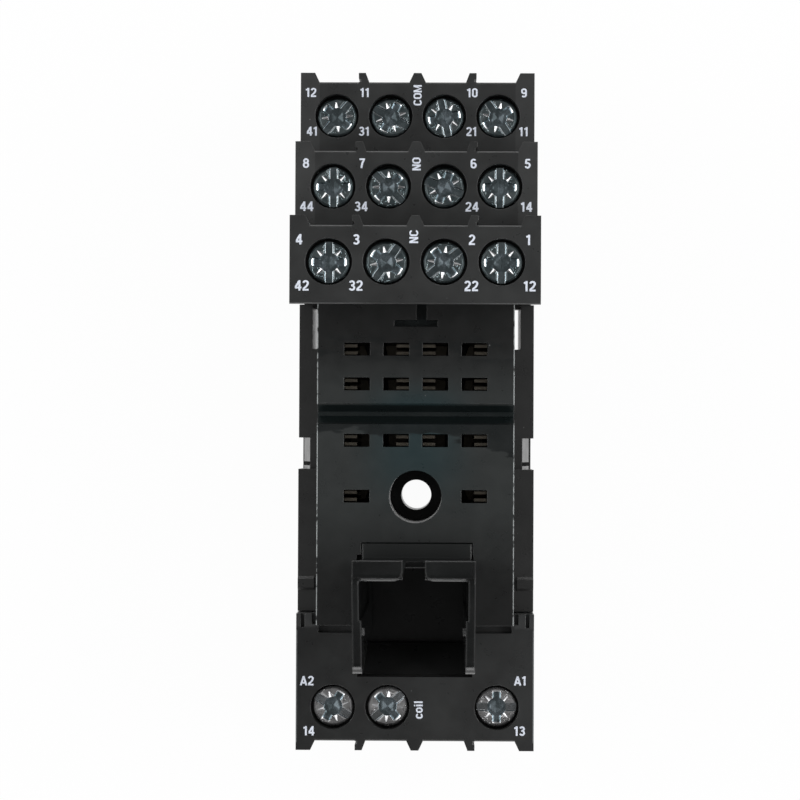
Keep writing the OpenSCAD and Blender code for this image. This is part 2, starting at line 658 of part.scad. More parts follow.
module retaining_clip() {
    half = clip_w / 2;
    kink_y = web_y - 4.7;
    color(clip_plastic) translate([clip_play, 0, 0]) difference() {
        union() {
            both_sides() {
                across(-half, -half + clip_plate_t) clip_plate_profile();
                translate([-half, pivot_y, pivot_z]) rotate([0, 90, 0]) cylinder(r = boss_r, h = clip_plate_t, $fn = 48);
                translate([-half - clip_side_gap - pin_reach + clip_play + 0.1, pivot_y, pivot_z]) rotate([0, 90, 0])
                    cylinder(r = pivot_r, h = clip_side_gap + pin_reach, $fn = 48);
                block([-half + clip_plate_t - 0.1, web_y - 6.3, clip_top_z - 5],
                      [-half + clip_plate_t + 0.3, web_y - 5.5, clip_top_z - 3.4]);
                across(-half, -hook_gap / 2)
                    polygon(concat([[web_y - web_t, bay_top_z - 1.5], [web_y, bay_top_z - 1.5], [web_y, bay_top_z],
                                    [toe_y, bay_top_z], [toe_y, bay_top_z + 0.4]],
                                   arc(web_y - web_t + 0.6, clip_top_z - 0.6, 0.6, 90, 180)));
            }
            block([-half + 0.3, web_y - web_t, pivot_z + 6], [half - 0.3, web_y, bay_top_z - 1.2]);
            block([-half, web_y - web_t, toe_top_z - toe_t], [half, foot_y, toe_top_z]);
        }
        block([-hook_gap / 2, web_y - web_t - 1, slot_foot_z], [hook_gap / 2, web_y + 1, clip_top_z]);
        both_sides() {
            block([-half + clip_thin_t, kink_y, deck_z + 4],
                  [-half + clip_plate_t + 0.5, web_y - web_t, clip_top_z + 1]);
            upright(bay_top_z - 1.6, clip_top_z + 1)
                polygon(concat([[-hook_gap / 2 + 0.1, web_y - web_t - 0.1]],
                               arc(-hook_gap / 2 - hook_corner_r, web_y - web_t + hook_corner_r, hook_corner_r,
                                   -90, 0, 6),
                               [[-hook_gap / 2 + 0.1, web_y - web_t + hook_corner_r]]));
        }
    }
}

// Combination screw: a flat slot and a smaller cross recess in a low domed head
module terminal_screw(place) {
    z_head = place[2] - head_recess;
    z_tip = place[2] - bar_down + 0.03;
    ease = 0.3;
    translate([place[0], place[1], 0]) color(zinc) difference() {
        rotate_extrude($fn = 48)
            polygon(concat(
                [[0, z_tip], [shank_r - 0.3, z_tip], [shank_r, z_tip + 0.3], [shank_r, z_head - head_h],
                 [head_r, z_head - head_h]],
                arc(head_r - ease, z_head - ease, ease, 0, 90, 3), [[0, z_head]]));
        rotate([0, 0, place[3]]) {
            block([-head_r - 1, -slot_w / 2, z_head - slot_d], [head_r + 1, slot_w / 2, z_head + 1]);
            block([-slot_w * 0.42, -head_r * 0.62, z_head - slot_d], [slot_w * 0.42, head_r * 0.62, z_head + 1]);
        }
    }
}

// Rising clamp: a folded loop round the contact bar, tapped in its thicker top
module clamp_cage(place) {
    z_bar = place[2] - bar_down;
    z_low = z_bar - cage_drop;
    z_high = z_bar + 2 * seat_gap + cage_top_t;
    half = cage_w / 2;
    fold = 0.6;
    translate([place[0], place[1], 0]) color(steel) difference() {
        translate([0, cage_l / 2, 0]) rotate([90, 0, 0]) linear_extrude(cage_l) difference() {
            polygon(concat(
                arc(half - fold, z_low + fold, fold, -90, 0), arc(half - fold, z_high - fold, fold, 0, 90),
                arc(-half + fold, z_high - fold, fold, 90, 180), arc(-half + fold, z_low + fold, fold, 180, 270)));
            polygon([[-half + cage_t, z_low + cage_t], [half - cage_t, z_low + cage_t],
                     [half - cage_t, z_high - cage_top_t], [-half + cage_t, z_high - cage_top_t]]);
        }
        translate([0, 0, z_high - cage_top_t - 0.5]) cylinder(r = shank_r + 0.05, h = cage_top_t + 1, $fn = 32);
    }
}

base_housing();
upper_housing();
rail_latch();
latch_spring();
retaining_clip();
for (row = [0:2]) for (k = poles)
    pole_contact(row, k);
coil_contact(1);  // contact_a1
coil_contact(-1);  // contact_a2
for (i = [0:len(terminal_names) - 1])
    terminal_screw(terminal_places[i]);
for (i = [0:len(terminal_names) - 1])
    clamp_cage(terminal_places[i]);
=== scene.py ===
"""Relay socket for a 35 mm rail: finishes, detailed terminal screws and printed terminal markings,
set on a plain white floor. Lengths are in metres unless a name or comment says mm."""
from collections import namedtuple
from math import asin, cos, pi, radians, sin

import bpy
import numpy as np
from mathutils import Euler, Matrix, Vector


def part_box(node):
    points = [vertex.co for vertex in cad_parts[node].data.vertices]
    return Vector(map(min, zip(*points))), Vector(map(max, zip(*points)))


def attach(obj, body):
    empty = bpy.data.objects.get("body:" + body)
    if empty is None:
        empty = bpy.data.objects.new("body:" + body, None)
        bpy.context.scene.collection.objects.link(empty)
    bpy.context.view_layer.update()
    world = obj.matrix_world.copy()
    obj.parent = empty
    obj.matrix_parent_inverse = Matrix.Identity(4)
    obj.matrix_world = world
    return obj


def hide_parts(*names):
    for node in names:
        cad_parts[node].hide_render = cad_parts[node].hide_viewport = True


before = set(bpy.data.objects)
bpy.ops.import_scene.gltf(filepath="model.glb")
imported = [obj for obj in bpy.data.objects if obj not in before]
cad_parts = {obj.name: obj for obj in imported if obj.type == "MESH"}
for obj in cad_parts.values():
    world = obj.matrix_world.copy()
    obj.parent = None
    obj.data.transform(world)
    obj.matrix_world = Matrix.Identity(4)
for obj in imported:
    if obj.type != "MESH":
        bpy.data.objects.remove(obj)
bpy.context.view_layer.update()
MM = 0.001


# ---------------------------------------------------------------- shader sockets as numbers

class Value:
    """A shader output that can be added to, scaled and compared like a number."""

    def __init__(self, tree, out):
        self.tree, self.out = tree, out

    def math(self, operation, *others):
        node = self.tree.nodes.new("ShaderNodeMath")
        node.operation = operation
        for slot, other in zip(node.inputs, (self, *others)):
            plug(self.tree, slot, other)
        return Value(self.tree, node.outputs[0])

    def __add__(self, other): return self.math("ADD", other)
    def __sub__(self, other): return self.math("SUBTRACT", other)
    def __mul__(self, other): return self.math("MULTIPLY", other)
    def __gt__(self, other): return self.math("GREATER_THAN", other)
    def __lt__(self, other): return self.math("LESS_THAN", other)
    def __rsub__(self, other): return (self * -1.0) + other
    __radd__ = __add__


def plug(tree, slot, value):
    """Links a Value to a socket, or sets a constant on the socket itself."""
    if isinstance(value, Value):
        tree.links.new(value.out, slot)
    elif isinstance(value, (tuple, list)) and len(value) == 3 and slot.type == "RGBA":
        slot.default_value = (*value, 1.0)
    else:
        slot.default_value = value


class Finish:
    """The node tree of a material, or of the world, while it is made."""

    def __init__(self, owner):
        owner.use_nodes = True
        self.owner, self.tree = owner, owner.node_tree
        self.tree.nodes.clear()

    def node(self, kind, settings=None, out=0, **values):
        """Any node, from its settings and its sockets' values. A socket is named with _ for a space, or is
        _ and its number. Returns the output asked for."""
        node = self.tree.nodes.new(kind)
        for key, value in (settings or {}).items():
            setattr(node, key, value)
        for key, value in values.items():
            slot = node.inputs[int(key[1:])] if key[1:].isdigit() else node.inputs[key.replace("_", " ")]
            plug(self.tree, slot, value)
        return Value(self.tree, node.outputs[out]) if len(node.outputs) else None

    def rays(self, kind):
        """1 for this kind of ray, such as Camera or Glossy, and 0 for the others."""
        return self.node("ShaderNodeLightPath", out=f"Is {kind} Ray")

    def axes(self, vector, scale=1.0):
        """The three numbers of a vector, times scale."""
        return [self.node("ShaderNodeSeparateXYZ", out=axis, Vector=vector) * scale for axis in range(3)]

    def place(self):
        """Position on the piece in its own coordinates, which are the shared frame's metres."""
        return self.node("ShaderNodeTexCoord", out="Object")

    def noise(self, per_mm, detail=3.0, stretch=(1, 1, 1), shift=(0, 0, 0)):
        """Noise about 0.5, with its grain given as repeats per millimetre."""
        place = self.node("ShaderNodeMapping", Vector=self.place(), Location=shift, Scale=stretch)
        return self.node("ShaderNodeTexNoise", Vector=place, Scale=per_mm / MM, Detail=detail,
                         Roughness=0.55)

    def ramp(self, value, low, high, to_low=0.0, to_high=1.0):
        """A smooth step from to_low, where the value is low, to to_high, where it is high."""
        return self.node("ShaderNodeMapRange", {"interpolation_type": "SMOOTHSTEP"}, Value=value,
                         From_Min=low, From_Max=high, To_Min=to_low, To_Max=to_high)

    def mix(self, share, a, b):
        """Colour a, with this share of colour b."""
        return self.node("ShaderNodeMix", {"data_type": "RGBA"}, out=2, _0=share, _6=a, _7=b)

    def blend(self, share, a, b):
        """Shader a, with this share of shader b."""
        return self.node("ShaderNodeMixShader", _0=share, _1=a, _2=b)

    def rounded(self, radius_mm):
        """A normal that looks as if every edge had this radius."""
        return self.node("ShaderNodeBevel", {"samples": 4}, Radius=radius_mm * MM)

    def bump(self, height, strength, depth_mm, normal):
        """The normal, roughened by a height that is depth_mm where it is 1."""
        return self.node("ShaderNodeBump", Height=height, Strength=strength, Distance=depth_mm * MM,
                         Normal=normal)

    def surface(self, **values):
        """Ends the material with one plastic or metal surface."""
        shader = self.node("ShaderNodeBsdfPrincipled", **values)
        self.node("ShaderNodeOutputMaterial", Surface=shader)
        return self.owner


def material(name):
    return Finish(bpy.data.materials.new(name))


def put_in_scene(name, data):
    thing = bpy.data.objects.new(name, data)
    bpy.context.scene.collection.objects.link(thing)
    return thing


# ---------------------------------------------------------------- camera, floor and light

def look_down():
    """The camera, nearly straight above the deck, and plain colours."""
    lens = bpy.data.cameras.new("camera")
    lens.lens, lens.sensor_width = 122.6, 36.0
    lens.clip_start, lens.clip_end = 0.01, 20.0
    camera = put_in_scene("camera", lens)
    camera.location = (2.72 * MM, -3.87 * MM, 330.4 * MM)
    camera.rotation_euler = Euler((radians(0.896), radians(0.836), radians(0.251)), "XYZ")
    bpy.context.scene.camera = camera
    bpy.context.scene.view_settings.view_transform = "Standard"


def white_floor():
    """A wide flat floor just under the socket, white to the camera and in reflections; the small lit share
    keeps the socket's faint shadow."""
    half, down, white_share = 1.5, -0.02 * MM, 0.96
    mesh = bpy.data.meshes.new("floor")
    mesh.from_pydata([(-half, -half, down), (half, -half, down), (half, half, down), (-half, half, down)],
                     [], [(0, 1, 2, 3)])
    put_in_scene("floor", mesh)
    paint = material("floor_white")
    seen = (paint.rays("Camera") + paint.rays("Glossy") + paint.rays("Transmission")).math("MINIMUM", 1.0)
    lit = paint.node("ShaderNodeBsdfDiffuse", Color=(0.95, 0.95, 0.95))
    white = paint.node("ShaderNodeEmission", Color=(1.0, 1.0, 1.0), Strength=1.0)
    paint.node("ShaderNodeOutputMaterial", Surface=paint.blend(seen * white_share, lit, white))
    mesh.materials.append(paint.owner)


def room_light():
    """A surround that is plain white to the camera and a dim even light on matt surfaces. In reflections
    it is bright at both sides and low down, and dim overhead, where a camera would stand."""
    overhead, sides, low_down, even = 0.08, 0.92, 0.80, 0.45
    world = bpy.data.worlds.new("surround")
    bpy.context.scene.world = world
    paint = Finish(world)
    x, _, z = paint.axes(paint.node("ShaderNodeTexCoord", out="Generated"))
    level = overhead + paint.ramp(x.math("ABSOLUTE"), 0.24, 0.52, 0.0, sides)
    level = (level + paint.ramp(z, 0.30, 0.10, 0.0, low_down)).math("MINIMUM", 1.0)
    mirrored = paint.node("ShaderNodeBackground", Color=(1.0, 1.0, 1.0), Strength=level)
    soft = paint.node("ShaderNodeBackground", Color=(0.98, 0.99, 1.0), Strength=even)
    white = paint.node("ShaderNodeBackground", Color=(1.0, 1.0, 1.0), Strength=1.0)
    light = paint.blend(paint.rays("Glossy"), soft, mirrored)
    paint.node("ShaderNodeOutputWorld", Surface=paint.blend(paint.rays("Camera"), light, white))


def softbox(name, place, width, height, radiance):
    """A rectangular lamp aimed at the socket; its power is radiance times area times pi."""
    aim = Vector((0.0, 0.0, 0.03))
    data = bpy.data.lights.new(name, "AREA")
    data.shape, data.size, data.size_y = "RECTANGLE", width, height
    data.energy = radiance * width * height * pi
    lamp = put_in_scene(name, data)
    lamp.location = place
    lamp.rotation_euler = (aim - Vector(place)).to_track_quat("-Z", "Y").to_euler()


look_down()
white_floor()
room_light()
softbox("left", (-0.52, 0.03, 0.36), width=0.50, height=0.26, radiance=3.8)
softbox("right", (0.52, 0.03, 0.36), width=0.50, height=0.26, radiance=4.8)
softbox("top_end", (0.0, 0.60, 0.13), width=0.60, height=0.14, radiance=4.0)
softbox("coil_end", (0.0, -0.60, 0.13), width=0.60, height=0.14, radiance=4.0)


# ---------------------------------------------------------------- finishes

# Zones of the mouldings, in mm of the shared frame: _Z and _Y are limits, and _HALF and _X are distances from
# the middle
DECK_Z, DECK_HALF, DECK_Y, GROOVE_Z = (22.6, 25.2), 11.2, (-24.6, 11.8), 24.35
DECK_EDGE_Z, DECK_EDGE_X = (24.55, 25.2), (10.97, 11.2)
WALL_X, WALL_Y, WALL_TOP = 11.3, -25.0, 30.0
COIL_Y, COIL_LOW = -24.8, 20.0
CORNER_X, CORNER_Y, CORNER_Z = 13.36, (-37.9, -25.2), (20.5, 21.2)
# Deck colours: painted shade at its ends, painted light in its middle, a painted bluish reflection, darker
# patches, and painted shade in its groove
DECK_END_SHADE, DECK_MIDDLE_LIGHT, DECK_TEAL_REFLECTION = (0.0150, 0.0153, 0.0151), (0.031, 0.034, 0.0335), (0.022, 0.038, 0.041)
DECK_DARK_PATCH, GROOVE_SHADE = (0.0085, 0.0105, 0.0108), (0.0085, 0.0125, 0.0128)
# What the side walls gain as painted light, and the colours that the coil end's painted shade, the painted
# edge highlights and the dust are mixed towards
WALL_PAINTED_LIGHT, COIL_PAINTED_SHADE = 0.0135, (0.004, 0.004, 0.004)
EDGE_HIGHLIGHT, DUST = (0.42, 0.44, 0.44), (0.30, 0.31, 0.31)


def between(value, limits):
    """1 where the value lies between two limits, and 0 elsewhere."""
    return (value > limits[0]) * (value < limits[1])


def deck_colour(paint, x, y, z):
    """The deck is painted paler in its middle as painted light, with a painted bluish reflection there, and
    darker at its ends as painted shade. It is darker in streaky patches below the groove and between its
    first two rows of slots, and its groove carries painted shade."""
    aside = x.math("ABSOLUTE")
    streaky = paint.noise(0.45, detail=3.0, stretch=(0.5, 1.6, 1.0), shift=(0.02, 0.005, 0.0))
    # Painted light and shade: a paler middle and darker ends; the teal is a painted reflection
    middle_light = paint.ramp(y, 7.8, 1.0) * paint.ramp(y, -21.0, -9.0)
    level = paint.mix(middle_light, DECK_END_SHADE, DECK_MIDDLE_LIGHT)
    teal_reflection = paint.ramp(aside, 8.0, 1.0) * paint.ramp(y, 4.0, 0.0) * paint.ramp(y, -13.0, -5.0)
    level = paint.mix(teal_reflection, level, DECK_TEAL_REFLECTION)
    # Darker streaky patches below the groove and between the first two rows of slots
    uneven = y + (streaky - 0.5) * 5.0 + paint.ramp(x, 1.0, 11.0, 0.0, 2.4)
    below_groove = paint.ramp(uneven, -2.9, -2.5) * (y < -1.0)
    between_rows = paint.ramp(y, 4.6, 5.8) * paint.ramp(y, 8.6, 7.4) * paint.ramp(streaky, 0.46, 0.56)
    dark_patches = (below_groove * 0.85 + between_rows * 0.6).math("MINIMUM", 1.0)
    # The groove is painted darker, a painted shade
    return paint.mix(z < GROOVE_Z, paint.mix(dark_patches, level, DECK_DARK_PATCH), GROOVE_SHADE)


def moulded_plastic(name, colour, tint, smudge=1.0, round_mm=0.10, smooth=0.27):
    """Satin black moulding: fine grain, cloudy smudges, a little dust and softly rounded edges. The side
    walls carry painted light, the coil end carries painted shade that deepens to the left, and the deck's
    long edges and the coil block's corners carry painted highlights. The roughness runs from smooth up by
    0.09 times smudge."""
    paint = material(name)
    x, y, z = paint.axes(paint.place(), 1000.0)
    aside = x.math("ABSOLUTE")
    cloud = paint.noise(0.16, detail=2.0)
    shade = paint.mix(paint.ramp(cloud, 0.38, 0.66), tuple(0.90 * c for c in colour), tint)
    # Painted light: the side walls are lifted lighter
    wall_light = (aside > WALL_X) * (y > WALL_Y) * (z < WALL_TOP) * WALL_PAINTED_LIGHT
    wall_light = paint.node("ShaderNodeCombineXYZ", X=wall_light, Y=wall_light, Z=wall_light)
    shade = paint.node("ShaderNodeVectorMath", {"operation": "ADD"}, _0=shade, _1=wall_light)
    # Painted shade on the coil end, deepening towards the left
    coil_shade_share = (y < COIL_Y) * (z > COIL_LOW) * paint.ramp(x, 8.0, -13.0, 0.10, 0.48)
    shade = paint.mix(coil_shade_share, shade, COIL_PAINTED_SHADE)
    deck = between(z, DECK_Z) * (aside < DECK_HALF) * between(y, DECK_Y)
    shade = paint.mix(deck, shade, deck_colour(paint, x, y, z))
    # Painted highlights: a broken light line along the deck's long edges and lighter coil block corners
    glint = paint.ramp(paint.noise(1.1, detail=4.0, shift=(0, 0.004, 0)), 0.36, 0.50)
    edge = between(z, DECK_EDGE_Z) * between(aside, DECK_EDGE_X) * glint * 0.90
    corner_highlight = (aside > CORNER_X) * between(y, CORNER_Y) * between(z, CORNER_Z) * 0.27
    shade = paint.mix(edge + corner_highlight, shade, EDGE_HIGHLIGHT)
    spots = paint.node("ShaderNodeTexVoronoi", {"feature": "F1"}, Vector=paint.place(), Scale=0.42 / MM)
    dust = paint.ramp(spots, 0.035, 0.02) * (paint.noise(0.31, 1.0, shift=(0.003, 0, 0)) > 0.56)
    patch = paint.noise(0.55, detail=3.0, shift=(0.01, 0.02, 0.0))
    shade = paint.mix(dust * 0.55, shade, DUST)
    rough = paint.ramp(patch, 0.3, 0.7, smooth, smooth + 0.09 * smudge) + dust * 0.2
    fine = paint.bump(paint.noise(14.0, detail=1.0), 0.10, 0.02, paint.rounded(round_mm))
    return paint.surface(Base_Color=shade, Roughness=rough, Normal=fine, IOR=1.50)


def plated_metal(name, colour, rough_low, rough_high):
    """Plated steel with faint brushing, darker clouds in the plating and softened edges."""
    paint = material(name)
    cloud = paint.noise(1.1, detail=4.0)
    streak = paint.noise(3.2, detail=2.0, stretch=(1.0, 6.0, 1.0))
    shade = paint.mix(paint.ramp(cloud, 0.35, 0.7) * 0.35, colour, tuple(0.45 * c for c in colour))
    rough = paint.ramp(streak, 0.3, 0.7, rough_low, rough_high)
    soft = paint.bump(streak, 0.12, 0.015, paint.rounded(0.05))
    return paint.surface(Base_Color=shade, Roughness=rough, Metallic=1.0, Normal=soft)


def screw_zinc():
    """Bluish zinc on a pressed screw head, painted lighter and warmer at the coil end as a painted
    reflection, and duller there. The attribute worn is 1 on ridges and rounded edges, which are painted
    near-white as painted highlights, 0 on the smooth dark lands, which carry a few fine squiggly tool marks,
    and below 0 on cut floors and walls, which are a little rougher."""
    paint = material("screw_zinc")
    tag = paint.node("ShaderNodeAttribute", {"attribute_name": "worn"}, out="Fac")
    worn, cut = tag.math("MAXIMUM", 0.0), (tag * -1.0).math("MAXIMUM", 0.0)
    # Painted reflection: the lands are lighter and warmer at the coil end
    coil_end_sheen = paint.ramp(paint.axes(paint.place(), 1000.0)[1], -24.0, -30.0)
    cloud = paint.noise(0.9, detail=3.0)
    land = paint.mix(paint.ramp(cloud, 0.35, 0.65), (0.36, 0.46, 0.49), (0.56, 0.66, 0.68))
    land = paint.mix(coil_end_sheen * 0.8, land, (0.80, 0.77, 0.77))
    floor = paint.mix(paint.ramp(cloud, 0.4, 0.6), (0.34, 0.42, 0.45), (0.52, 0.62, 0.68))
    # Painted highlights: ridges, ticks and rim edges are mixed towards near-white
    shade = paint.mix(worn, paint.mix(cut, land, floor), (0.97, 0.98, 1.0))
    squiggle = (paint.noise(1.5, detail=2.0, shift=(0.001, 0.002, 0.003)) - 0.5).math("ABSOLUTE")
    few = paint.ramp(paint.noise(0.7, detail=1.0, shift=(0.004, 0, 0)), 0.50, 0.56)
    mark = paint.ramp(squiggle, 0.022, 0.0) * few * (cut < 0.1) * (1.0 - worn)
    fine = paint.bump(paint.noise(7.0, detail=2.0), 0.18, 0.010, paint.rounded(0.03))
    marked = paint.bump(mark, 0.8, 0.035, fine)
    rough = paint.ramp(cloud, 0.3, 0.7, 0.12, 0.19) + (cut + worn) * 0.06 + coil_end_sheen * 0.13 * (1.0 - cut)
    return paint.surface(Base_Color=shade, Roughness=rough, Metallic=1.0, Normal=marked)


def white_print():
    """Slightly uneven white pad-printing ink."""
    paint = material("white_ink")
    speck = paint.noise(5.0, detail=2.0)
    shade = paint.mix(paint.ramp(speck, 0.25, 0.6), (0.60, 0.64, 0.72), (0.80, 0.84, 0.93))
    return paint.surface(Base_Color=shade, Roughness=paint.ramp(speck, 0.3, 0.7, 0.5, 0.65))


housing_finish = moulded_plastic("housing_plastic", (0.0300, 0.0305, 0.0303), (0.0345, 0.0355, 0.0352))
base_finish = moulded_plastic("base_plastic", (0.0205, 0.0205, 0.0200), (0.0225, 0.0225, 0.0220),
                              smudge=0.7)
clip_finish = moulded_plastic("clip_plastic", (0.0075, 0.0080, 0.0080), (0.0095, 0.0102, 0.0101),
                              smudge=0.6, round_mm=0.30, smooth=0.15)
screw_finish = screw_zinc()
tin_finish = plated_metal("contact_tin", (0.30, 0.27, 0.22), 0.28, 0.40)
steel_finish = plated_metal("cage_steel", (0.50, 0.51, 0.52), 0.26, 0.40)
ink_finish = white_print()

# The finish of each CAD node, by the first word of its name
NODE_FINISH = {"base": base_finish, "upper": housing_finish, "rail": clip_finish, "retaining": clip_finish,
               "latch": steel_finish, "contact": tin_finish, "screw": screw_finish, "clamp": steel_finish}
for name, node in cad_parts.items():
    node.data.materials.clear()
    node.data.materials.append(NODE_FINISH[name.split("_")[0]])


# ---------------------------------------------------------------- meshes from grids

def shell(name, points):
    """A closed surface over a grid of points, rows by columns: the columns go all the way round, and the
    first and last rows are single poles."""
    rows, columns = points.shape[:2]
    ids = np.arange(1, 1 + (rows - 2) * columns).reshape(rows - 2, columns)
    vertices = np.concatenate([points[:1, 0], points[1:-1].reshape(-1, 3), points[-1:, 0]])
    after = np.roll(ids, -1, axis=1)
    quads = np.stack([ids[:-1], ids[1:], after[1:], after[:-1]], axis=-1).reshape(-1, 4)
    last = len(vertices) - 1
    first_fan = np.stack([np.zeros(columns, int), ids[0], after[0]], axis=-1)
    last_fan = np.stack([np.full(columns, last), after[-1], ids[-1]], axis=-1)
    mesh = bpy.data.meshes.new(name)
    mesh.from_pydata(vertices.tolist(), [], first_fan.tolist() + quads.tolist() + last_fan.tolist())
    mesh.validate()
    return mesh


def place_piece(name, mesh, body, finish, smooth_deg=None):
    """Puts a mesh into the scene as a piece that rides on a body. Faces that meet within smooth_deg are
    shaded smooth."""
    if smooth_deg:
        mesh.polygons.foreach_set("use_smooth", np.ones(len(mesh.polygons), bool))
        mesh.set_sharp_from_angle(angle=radians(smooth_deg))
    mesh.materials.append(finish)
    piece = put_in_scene(name, mesh)
    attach(piece, body)
    return piece


# ---------------------------------------------------------------- terminal screws

# Sizes in mm. The head has a radius, a flat top inside a rounded rim, and a height
HEAD_R, FLAT_R, HEAD_H, SHANK_R = 2.3, 1.96, 1.6, 1.45
LAND_DOME, RIM_DROP = 0.10, 0.36
# The pit in the middle, with a shallow four-sided point in its floor; slot and arms start at its rim
PIT_R, FACET_R, SLOT_DEEP, PIT_DEEP = 1.04, 0.70, 0.55, 0.66
# Half widths of slot and arms at the top; each arm ends in a steep step and then a gentle slope
SLOT_LIP, ARM_LIP = 0.59, 0.50
ARM_FLOOR_END, ARM_END, END_STEP, END_STEP_RISE = 1.64, 1.90, 0.10, 0.80
# The four ticks between slot and arms: ridges that get lower and narrower outwards
TICK_FROM, TICK_TO, TICK_HIGH, TICK_LOWERS = 1.07, 1.80, 0.088, 0.80
TICK_WIDE, TICK_NARROWS = 0.20, 0.15
# The thread, with the rings of points in one turn of it
THREAD_PITCH, THREAD_DEEP, THREAD_STEPS = 0.5, 0.14, 6
# Lines along the slot and the arms, from the middle out: distance in mm, share of the way up, and painted
# glint
SLOT_LINES = ((0.0, 0.0, -0.4), (0.20, 0.0, -0.4), (0.37, 0.0, -0.4), (0.38, 0.0, 0.7), (0.415, 0.035, 0.7),
              (0.42, 0.06, -1), (0.47, 0.93, -1), (0.48, 0.96, 0), (0.545, 0.963, 0.8))
ARM_LINES = ((0.0, 0.0, -1), (0.15, 0.0, -1), (0.28, 0.0, -1), (0.40, 0.06, -1), (0.46, 0.92, -1),
             (0.47, 0.94, 0))
# Radii of the rings of points on the flat top
RINGS = (0.0, 0.15, 0.30, 0.45, 0.58, FACET_R, 0.80, 0.92, PIT_R, 1.06, TICK_FROM, 1.09, 1.2, 1.32, 1.44,
         1.55, ARM_FLOOR_END, 1.69, 1.74, TICK_TO, 1.85, ARM_END, 1.93, FLAT_R)


def share_of(value, start, run):
    """How far the value is along a run from its start, from 0 to 1."""
    return min(max((value - start) / run, 0.0), 1.0)


def land_depth(radius):
    """Depth of the lands' low dome: LAND_DOME times the square of radius / FLAT_R."""
    return LAND_DOME * (radius / FLAT_R) ** 2


def head_quarter(radius):
    """Rows of (angle, depth, painted glint) at one radius, from the slot's middle to the arm's middle. A line
    at distance h from a groove's middle lies at angle asin(h / radius), and between floor and land the depth
    falls by the line's share. An arm's floor rises at its end, by END_STEP_RISE over END_STEP and then
    to the top."""
    reach = max(radius, PIT_R)
    top = land_depth(radius)
    step_end = ARM_FLOOR_END + END_STEP
    rise = END_STEP_RISE * share_of(radius, ARM_FLOOR_END, END_STEP)
    rise += (1 - END_STEP_RISE) * share_of(radius, step_end, ARM_END - step_end)
    arm_floor = SLOT_DEEP + (top - SLOT_DEEP) * rise
    past_floor = radius >= ARM_FLOOR_END + END_STEP / 2
    # The arm's end step is painted bright, a painted highlight
    end_glint = 1.0 if ARM_FLOOR_END + 0.9 * END_STEP < radius < ARM_END - 0.01 else 0.0

    outwards = share_of(radius, TICK_FROM, TICK_TO - TICK_FROM)
    on_tick = 1.0 if TICK_FROM <= radius < TICK_TO - 0.01 else 0.0
    half = (TICK_WIDE - TICK_NARROWS * outwards) / reach
    ridge = top - TICK_HIGH * (1.0 - TICK_LOWERS * outwards) * on_tick
    first, last, middle, beside = asin(SLOT_LIP / reach), pi / 2 - asin(ARM_LIP / reach), pi / 4, 0.02
    before, after = middle - half, middle + half

    rows = [(asin(off / reach), SLOT_DEEP + (top - SLOT_DEEP) * share, glint)
            for off, share, glint in SLOT_LINES]
    # The tick rows take on_tick as their painted glint, a painted highlight along each tick
    rows += [(first, top, 0), ((2 * first + before) / 3, top, 0), (before - beside, top, 0),
             (before, top, on_tick), (middle, ridge, on_tick), (after, top, on_tick),
             (after + beside, top, 0), ((2 * last + after) / 3, top, 0), (last, top, 0)]
    rows += [(pi / 2 - asin(off / reach), arm_floor + (top - arm_floor) * share,
              end_glint if past_floor else glint) for off, share, glint in reversed(ARM_LINES)]
    return rows


def head_columns(radius):
    """Angles all the way round the head at one radius, the depth at each and its painted glint. Inside PIT_R
    all is floor, which goes down inside FACET_R to a four-sided point: 1 - (|x| + |y|) / (FACET_R * sqrt 2)."""
    angle, depth, glint = np.array(head_quarter(radius), float).T
    if radius <= PIT_R:
        x, y = radius * np.cos(angle), radius * np.sin(angle)
        point = np.clip(1 - (x + y) / (FACET_R * 2 ** 0.5), 0, 1) * (radius <= FACET_R)
        depth = SLOT_DEEP + (PIT_DEEP - SLOT_DEEP) * point
        glint = np.full_like(depth, -1.0)

    def half_turn(values, mirrored):
        return np.concatenate([values, mirrored[::-1][1:]])[:-1]

    angle = half_turn(angle, pi - angle)
    depth, glint = (np.tile(half_turn(values, values), 2) for values in (depth, glint))
    return np.concatenate([angle, angle + pi]), depth, glint


